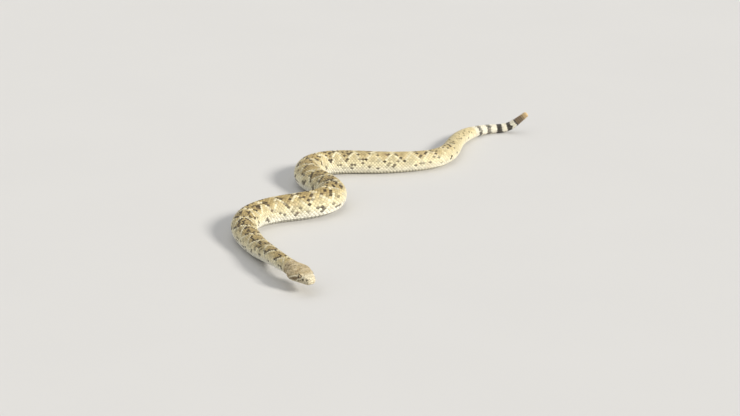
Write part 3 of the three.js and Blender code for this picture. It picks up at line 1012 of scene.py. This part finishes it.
def scute_shape(name):
    """A wide curved plate of length 1, for a half width of 1. Its rows are a place along it and a depth."""
    angles = np.linspace(-SCUTE_REACH, SCUTE_REACH, 25)
    sides = len(angles)
    level = BODY_LEVEL * BODY_HEIGHT
    outs = np.sin(angles)
    ups = np.maximum(level - (level + BELLY_SINK) * np.cos(angles), 0)
    rows = [(x, depth, 1 - 0.18 * max(0, x - 0.1), 0.5) for x, depth in SCUTE_TOP]
    rows += [(x, depth, 0.98, 0.0) for x, depth in SCUTE_UNDER]
    points = []
    for x, depth, narrowed, _ in rows:
        back = x - 0.12 * (angles / SCUTE_REACH) ** 2
        points.append(np.stack([back, (outs - outs * depth) * narrowed, ups + np.cos(angles) * depth], -1))
    faces = []
    for r in range(len(rows)):
        for a in range(r * sides, (r + 1) * sides - 1):
            b = (a + sides) % (len(rows) * sides)
            faces.append((a, a + 1, b + 1, b))
    faces.append(tuple(r * sides for r in range(len(rows))))
    faces.append(tuple(r * sides + sides - 1 for r in range(len(rows)))[::-1])
    values = {
        "ridge": np.repeat([ridge for _, _, _, ridge in rows], sides),
        "tip": np.repeat([x + 0.5 for x, _, _, _ in rows], sides),
    }
    mesh = make_mesh(name, np.vstack(points), faces, values, scale=1)
    face_out(mesh)
    return mesh


def scute_seeds(start, end):
    """Scutes one after another under a length of body."""
    stations = [start]
    while stations[-1] < end:
        stations.append(stations[-1] + float(row_pitch(stations[-1])))
    far = np.array(stations[:-1])
    origin, _, up, back = frames(far)
    half = along(HALF_WIDTH, far)
    return {
        "place": origin,
        "out": up,
        "back": back,
        "size": np.stack([row_pitch(far) * 1.25, half, half], -1),
        "along": far,
        "around": np.full(far.shape, 1.3),
        "level": np.full(far.shape, 1.0),
    }


# The head's scales

HEAD_ROWS_TO = 62
HEAD_ROW_STEP = 0.62  # from one row to the next, as a share of the length of its scales
HEAD_INTO_NECK = (34, 42)  # where the rows leave the lips and come down to the belly's edge
LIPS_TO = 40
EYE_RING_COUNT = 15
BROW_CLEAR_PLACE = (16.2, 8.9, 16.6)
BROW_CLEAR_SQUASH = (1, 1, 1.6)
BROW_CLEAR = 4.6
EYE_CLEAR = 4.3
NOSTRIL_CLEAR = 1.7
HEAT_PIT_CLEAR = 2.2


def edge_angle(far, above_mouth, on_neck):
    """The angle where a row ends: by the lips on the head, and another one on the neck."""
    behind = float(smoothstep(*HEAD_INTO_NECK, far))
    return (1 - behind) * lip_angle(min(far, LIPS_TO), above_mouth) + behind * on_neck


def rows_round_head(first, lengths, edges, width, fewest, margin):
    """Far, angle, length and width for scales in rows, every other row turned by half a scale.

    Lengths gives where the scales begin to lengthen and where they stop, each with a length. Edges gives
    the angles that a row lies between, and width the width that is wanted for a length.
    """
    (from_far, shortest), (to_far, longest) = lengths
    found = []
    far = first
    while far < HEAD_ROWS_TO:
        length = shortest + (longest - shortest) * float(smoothstep(from_far, to_far, far))
        low, high = edges(far)
        _, girth = angles_by_length(far, low, high, [0, 1])
        count = max(fewest, int(round(girth / width(length))))
        shares = (np.arange(count) + (0.5 if len(found) % 2 else 0.0)) / count
        shares = shares[(shares > margin) & (shares < 1 - margin)]
        angle, _ = angles_by_length(far, low, high, shares)
        found.append(row_of(far, angle, length, girth / count))
        far += length * HEAD_ROW_STEP
    return np.concatenate(found, -1)


def crown_seeds():
    """Small scales over the top and sides of the head, in rows that widen towards the neck."""

    def edges(far):
        low = edge_angle(far, 2.1, BELLY_EDGE)
        return low, 2 * math.pi - low

    lengths = ((8, 1.9), (60, 3.9))
    far, angle, length, width = rows_round_head(2.8, lengths, edges, lambda size: size * 0.86, 1, 0)
    out, up = section(far, angle)
    spots = np.stack([far, np.abs(out), up], -1)
    brow = np.array(BROW_CLEAR_SQUASH)
    clear = (
        (near(spots, EYE_PLACE) > EYE_CLEAR)
        & (near(spots, NOSTRIL_PLACE) > NOSTRIL_CLEAR)
        & (near(spots, HEAT_PIT_PLACE) > HEAT_PIT_CLEAR)
        & (near(spots * brow, BROW_CLEAR_PLACE * brow) > BROW_CLEAR)
    )
    far, angle, length, width = far[clear], angle[clear], length[clear], width[clear]
    sink = 0.28 + 0.4 * (1 - smoothstep(2.8, 5.2, far))[:, None]
    return seeds_on_surface(far, angle, length * 1.42, width * 1.36, rise=0.16, sink=sink)


def lip_angle(far, above):
    """The angle at which the left side is that far above the mouth, or below it if negative."""
    angles = np.linspace(0.2, math.pi / 2 + 0.6, 400)
    _, up = section(np.full(angles.shape, far), angles)
    wanted = float(along(MOUTH_LINE, far)) + above
    return float(np.interp(wanted, up, angles))


def lip_seeds(above, plates, first, last, height):
    """A row of lip plates on both sides."""
    edges = first + (last - first) * np.linspace(0, 1, plates + 1) ** 1.15
    middles = (edges[1:] + edges[:-1]) / 2
    angle = np.array([lip_angle(far, above) for far in middles])
    angle = np.concatenate([angle, 2 * math.pi - angle])
    far, length = np.tile(middles, 2), np.tile(np.diff(edges), 2)
    return seeds_on_surface(far, angle, length * 1.1, np.full(far.shape, height), rise=0.02, sink=0.45)


def throat_seeds():
    """Smooth small scales under the jaw and throat, between the lower lips."""

    def edges(far):
        high = edge_angle(far, -2.0, BELLY_EDGE + 0.15)
        return -high, high

    lengths = ((4, 2.6), (30, 3.4))
    far, angle, length, width = rows_round_head(3.6, lengths, edges, lambda size: 2.5, 4, 0.02)
    return seeds_on_surface(far, angle % (2 * math.pi), length * 1.4, width * 1.4, rise=0.14, sink=0.32)


# Plates over the front of the snout: corners of each, across to the side and up from the chin

SNOUT_BACK = 6.0  # how far back from the tip these plates can reach
MIDDLE_PLATES = [
    [(-2.2, 5.85), (2.2, 5.85), (2.95, 8.0), (1.95, 10.35), (-1.95, 10.35), (-2.95, 8.0)],
    [(-2.7, 5.3), (2.7, 5.3), (1.3, 2.8), (-1.3, 2.8)],
]
SIDE_PLATES = [
    [(2.35, 5.85), (4.75, 5.85), (5.15, 7.75), (3.05, 7.9)],
    [(4.9, 5.85), (6.9, 5.9), (7.1, 7.7), (5.3, 7.75)],
    [(3.1, 8.05), (5.7, 7.9), (6.3, 9.4), (5.6, 11.15), (4.1, 11.25), (2.1, 10.3)],
    [(5.9, 7.9), (7.3, 7.9), (7.6, 9.0), (6.9, 9.6), (6.5, 9.3)],
    [(0.08, 10.5), (1.95, 10.5), (3.9, 11.4), (3.55, 13.2), (0.08, 13.0)],
    [(4.05, 11.4), (5.7, 11.3), (6.9, 11.9), (6.0, 13.3), (3.7, 13.3)],
    [(2.9, 5.3), (6.9, 5.25), (6.2, 3.3), (1.5, 2.85)],
]
# A brow plate: back from the snout and across from the middle
BROW_PLATE = [
    (11.4, 6.9), (13.4, 5.6), (18.2, 5.5), (21.2, 7.0),
    (21.0, 9.9), (17.6, 11.5), (13.6, 10.9), (11.6, 9.0),
]
BROW_ROOT = 7.0  # how far from the middle of the head a brow leaves the crown
BROW_SLOPE = 0.32
# Rings of a plate from its foot to its top: share of the outline, and height
PLATE_RINGS = [(1, -0.75), (1, -0.1), (0.96, 0.08), (0.86, 0.17), (0.6, 0.22), (0.3, 0.24)]
BROW_RINGS = [(0.8, -1.3), (0.97, -0.9), (1, -0.3), (0.96, -0.05), (0.86, 0.06), (0.6, 0.16), (0.3, 0.2)]


def snout_at(across, up):
    """How far back from the tip the front of the snout lies, with a slight swell."""
    steps = np.linspace(0, SNOUT_BACK, 121)
    wide = half_width_at(steps, up[..., None])
    reached = np.argmax(wide >= np.abs(across)[..., None], -1)
    held = np.maximum(reached, 1)
    before = np.take_along_axis(wide, held[..., None] - 1, -1)[..., 0]
    here = np.take_along_axis(wide, held[..., None], -1)[..., 0]
    part = np.clip((np.abs(across) - before) / np.maximum(here - before, 1e-6), 0, 1)
    far = np.where(reached == 0, 0, steps[held - 1] + part * (steps[1] - steps[0]))
    swell = np.clip(1 - (across / 6) ** 2 - ((up - 7.5) / 6) ** 2, 0, 1)
    return far - 0.6 * swell


def smooth_outline(corners):
    """The corners joined by straight sides and rounded, as a closed row of points."""
    following = np.roll(corners, -1, 0)
    points = np.stack([corners + (following - corners) * t for t in (0, 0.25, 0.75)], 1).reshape(-1, 2)
    for _ in range(2):
        ahead = np.roll(points, -1, 0)
        points = np.stack([0.75 * points + 0.25 * ahead, 0.25 * points + 0.75 * ahead], 1).reshape(-1, 2)
    return points


def lie_on_snout(flat):
    """Places on the snout's front and directions out of it, for places across and up."""
    across, up = flat.T
    reach = 0.3
    slope_across = (snout_at(across + reach, up) - snout_at(across - reach, up)) / (2 * reach)
    slope_up = (snout_at(across, up + reach) - snout_at(across, up - reach)) / (2 * reach)
    out = unit(np.stack([-np.ones(len(flat)), slope_across, slope_up], -1))
    return np.stack([snout_at(across, up), across, up], -1), out


def lie_over_eye(flat):
    """The same for a brow, for places back and across: it leaves the crown and stands out over the eye."""
    far, across = flat.T
    beyond = np.abs(across) - BROW_ROOT
    furrow = 0.13 * np.sin(2.8 * beyond + 0.6 * np.sin(far)) + 0.06 * np.sin(1.9 * far)
    up = crown_height(far, BROW_ROOT) - BROW_SLOPE * beyond + 0.035 * np.maximum(beyond, 0) ** 2 + furrow
    out = np.stack([np.full(len(flat), -0.15), 0.3 * np.sign(across), np.ones(len(flat))], -1)
    return np.stack([far, across, up], -1), unit(out)


def plates_mesh(name, outlines, lie, rings):
    """Low cushions with rounded rims in one mesh, one for each outline on the surface that lie gives."""
    points, faces, spots = [], [], []
    values = {key: [] for key in ("along", "around", "level", "chance", "ridge", "tip")}
    for corners in outlines:
        outline = smooth_outline(corners)
        middle = outline.mean(0)
        shares = np.array([share for share, _ in rings for _ in outline] + [0, 0], float)
        heights = np.array([height for _, height in rings for _ in outline] + [rings[0][1], rings[-1][1]])
        flat = middle + shares[:, None] * (np.vstack([outline] * len(rings) + [middle, middle]) - middle)
        surface_place, out = lie(flat)
        place = surface_place + heights[:, None] * out
        start = sum(len(p) for p in points)
        faces += [tuple(start + i for i in face) for face in tube_faces(len(rings), len(outline))]
        points.append(place)
        values["along"].append(place[:, 0])
        values["around"].append(np.full(len(flat), 0.04 * place[:, 1].mean()))
        values["level"].append(place[:, 2])
        values["chance"].append(np.full(len(flat), 0.15 + 0.85 * random_draw.random()))
        values["ridge"].append(0.5 * (1 - shares))
        values["tip"].append(np.full(len(flat), 0.6))
        spots.append(0.5 + (middle - (0, 8)) / 50 + (flat - middle) / np.ptp(flat, 0) * PATCH)
    values = {key: np.concatenate(parts) for key, parts in values.items()}
    mesh = make_mesh(name, head_to_frame(np.vstack(points)), faces, values)
    face_out(mesh)
    set_patches(mesh, np.vstack(spots))
    return mesh


def snout_outlines():
    """The middle plates, and the side plates on both sides."""
    both_sides = [np.array(corners) * (side, 1) for side in (1, -1) for corners in SIDE_PLATES]
    return [np.array(corners) for corners in MIDDLE_PLATES] + both_sides


def turned_with_head(directions):
    """Directions of the head's own space, in the row frame."""
    directions = np.array(directions, float)
    return head_to_frame(directions) - head_to_frame(np.zeros(directions.shape))


def chin_shield_seeds():
    """The two long plates behind the chin."""
    pair = np.ones(2)
    angle = np.array([0.33, 2 * math.pi - 0.33])
    return seeds_on_surface(8.5 * pair, angle, 9.5 * pair, 4.6 * pair, rise=0.03, sink=0.15)


def eye_ring_seeds():
    """Small scales round each eye, but not under its brow."""
    turn = 2 * math.pi * (np.arange(EYE_RING_COUNT) + 0.5) / EYE_RING_COUNT
    turn = turn[(turn < 0.25 * math.pi) | (turn > 0.75 * math.pi)]
    radial = np.stack([np.cos(turn), 0 * turn, np.sin(turn)], -1)
    ring = np.array(EYE_PLACE) + (EYE_RADIUS + 0.45) * radial
    ring[:, 1] = half_width_at(ring[:, 0], ring[:, 2]) - 0.15
    places = np.vstack([ring, ring * (1, -1, 1)])
    outs = [unit(np.array([-0.12, side, 0.2])) for side in np.sign(places[:, 1])]
    return {
        "place": head_to_frame(places),
        "out": turned_with_head(outs),
        "back": turned_with_head(np.tile(radial, (2, 1))),
        "size": np.tile([1.9, 1.7, 1.9], (len(places), 1)),
        "along": places[:, 0],
        "around": np.sign(places[:, 1]) * (1.4 - 0.06 * places[:, 2]),
        "level": places[:, 2],
    }


# Rattle

RATTLE_SEGMENTS = 7
RATTLE_PITCH = 3.9
RATTLE_HALF_HEIGHT = 7.4
RATTLE_HALF_THICKNESS = 4.7
RATTLE_TIP_SHARE = 0.76
RATTLE_GAP = 0.3
RATTLE_SIDES = 48
RATTLE_LEAN = 0.04375  # segments lean to one side and the other in turn
# Pairs of a share of the length and a share of the radius
RATTLE_PROFILE = [
    (0, 0.8), (0.1, 0.9), (0.25, 0.99), (0.42, 1.0), (0.55, 0.94), (0.62, 0.9), (0.72, 0.93),
    (0.86, 0.88), (1, 0.72),
]
RATTLE_BUTTON = [
    (0, 0.8), (0.12, 0.92), (0.3, 1.0), (0.5, 0.97), (0.65, 0.86), (0.75, 0.82), (0.9, 0.84),
    (1.1, 0.72), (1.28, 0.46), (1.36, 0.2),
]


def rattle_segment(n):
    """One ring of horn with a waist; the last one is closed in a button."""
    size = 1 - (1 - RATTLE_TIP_SHARE) * n / (RATTLE_SEGMENTS - 1)
    profile = RATTLE_BUTTON if n == RATTLE_SEGMENTS - 1 else RATTLE_PROFILE
    share, radius = np.array(profile, float).T[:, :, None]
    turn = np.linspace(0, 2 * math.pi, RATTLE_SIDES, endpoint=False)
    groove = 1 - 0.2 * np.abs(np.sin(turn)) ** 6 + 0.02 * np.sin(2 * turn + n)
    lean = RATTLE_LEAN * np.cos(turn) * (1 if n % 2 else -1)
    back_along = n * RATTLE_PITCH + share * (RATTLE_PITCH - RATTLE_GAP) + lean
    aside = size * radius * groove * RATTLE_HALF_THICKNESS * np.sin(turn)
    upwards = size * radius * RATTLE_HALF_HEIGHT * np.cos(turn)
    rings = np.stack([back_along, aside, upwards], -1)
    own = np.vstack([rings.reshape(-1, 3), rings[0].mean(0), rings[-1].mean(0)])
    origin, side, up, back = (v[0] for v in frames(np.array([float(TAIL_END)])))
    middle_up = BODY_LEVEL * BODY_HEIGHT * float(along(HALF_WIDTH, TAIL_END))
    base = origin + RATTLE_GAP * back + middle_up * up
    placed = base + own[:, :1] * back + own[:, 1:2] * side + own[:, 2:3] * up
    values = {
        "along": np.full(len(own), n / (RATTLE_SEGMENTS - 1)),
        "tip": np.concatenate([np.repeat(share, RATTLE_SIDES), [0, 1]]),
    }
    mesh = make_mesh(f"rattle_horn_{n + 1}", placed, tube_faces(len(profile), RATTLE_SIDES), values)
    face_out(mesh)
    return mesh


# Eyes

EYE_RINGS = 24
EYE_SIDES = 48
GAZE_SHIFT = 0.06


def eye_mesh(name, side):
    """A ball with its poles to the sides, and a gaze that the slit and the iris are drawn by."""
    high = math.pi * np.arange(1, EYE_RINGS)[:, None] / EYE_RINGS
    turn = 2 * math.pi * np.arange(EYE_SIDES) / EYE_SIDES
    rings = [np.sin(high) * np.cos(turn), np.cos(high) + 0 * turn, np.sin(high) * np.sin(turn)]
    points = np.vstack([np.stack(rings, -1).reshape(-1, 3), (0, 1, 0), (0, -1, 0)]) * (1, side, 1)
    values = {"gaze": np.stack([points[:, 0], points[:, 2] + GAZE_SHIFT, points[:, 1] * side], -1)}
    own = points * EYE_RADIUS + np.array(EYE_PLACE) * (1, side, 1)
    mesh = make_mesh(name, head_to_frame(own), tube_faces(EYE_RINGS - 1, EYE_SIDES), values)
    face_out(mesh)
    return mesh


# Putting the animal together

FLESH = ["head", "lower_jaw", "neck", *[f"trunk_{n}" for n in range(1, 8)], "tail"]
KEELED = scale_material("keeled_scales", 0.5, 0.16)
SMOOTH = scale_material("smooth_plates", 0.5, 0.1)
HORN = horn_material()
EYE = eye_material()

add_piece("skin", skin_mesh(), skin_material(), FLESH)

keeled_scale = scale_shape("keeled_scale", 0.085, dome=0.1)
flat_scale = scale_shape("flat_scale", 0.0, dome=0.12, thickness=0.1)
lip_scale = scale_shape("lip_scale", 0.0, dome=0.13, thickness=0.14, half_widths=(0.46, 0.5, 0.5, 0.46))

# Each length of the coat on the body: its name, where it starts and ends, and its rows
COAT_LENGTHS = [
    ("scales_neck", 60, 180, 21),
    ("scales_front", 180, 420, 27),
    ("scales_middle", 420, 660, 27),
    ("scales_behind_middle", 660, 880, 27),
    ("scales_rear", 880, 1010, 21),
    ("scales_tail", 1010, TAIL_END - 2, 17),
]
for number, (name, start, end, rows) in enumerate(COAT_LENGTHS):
    set_scales(name, keeled_scale, body_seeds(start, end, rows), KEELED, seed=number + 2)

set_scales("belly_scutes", scute_shape("belly_scute"), scute_seeds(58, TAIL_END - 3), SMOOTH, 0.0)
set_scales("scales_head", keeled_scale, crown_seeds(), KEELED, 0.1, 11)
set_scales("scales_throat", flat_scale, throat_seeds(), SMOOTH, 0.06, 12)
set_scales("upper_lips", lip_scale, lip_seeds(1.15, 13, 2.2, 37.5, 2.3), SMOOTH, 0.03, 13)
set_scales("lower_lips", lip_scale, lip_seeds(-1.2, 13, 2.2, 37.0, 2.2), SMOOTH, 0.03, 14)
snout_plates = plates_mesh("snout_plates", snout_outlines(), lie_on_snout, PLATE_RINGS)
add_piece("snout_plates", snout_plates, SMOOTH)
set_scales("chin_shields", flat_scale, chin_shield_seeds(), SMOOTH, 0.0, 17)
set_scales("eye_ring_scales", flat_scale, eye_ring_seeds(), SMOOTH, 0.05, 15)

for side, word in ((-1, "left"), (1, "right")):
    add_piece(f"eye_{word}_ball", eye_mesh(f"eye_{word}_ball", side), EYE, [f"eye_{word}"])
    brow = plates_mesh(f"brow_{word}", [np.array(BROW_PLATE) * (1, side)], lie_over_eye, BROW_RINGS)
    add_piece(f"brow_{word}", brow, SMOOTH)

for n in range(RATTLE_SEGMENTS):
    add_piece(f"rattle_horn_{n + 1}", rattle_segment(n), HORN, [f"rattle_{n + 1}"])

FLOOR_HALF = 30000
floor_corners = [(x * FLOOR_HALF, y * FLOOR_HALF, 0) for x, y in ((-1, -1), (1, -1), (1, 1), (-1, 1))]
floor = bpy.data.objects.new("studio_floor", make_mesh("studio_floor", floor_corners, [(0, 1, 2, 3)]))
floor.data.materials.append(floor_material())
bpy.context.scene.collection.objects.link(floor)
floor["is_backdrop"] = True

low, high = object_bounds()
sizes = {"cad": (cad_low, cad_high), "visual": (low, high)}
sizes = {key: [[float(v) for v in corner] for corner in corners] for key, corners in sizes.items()}
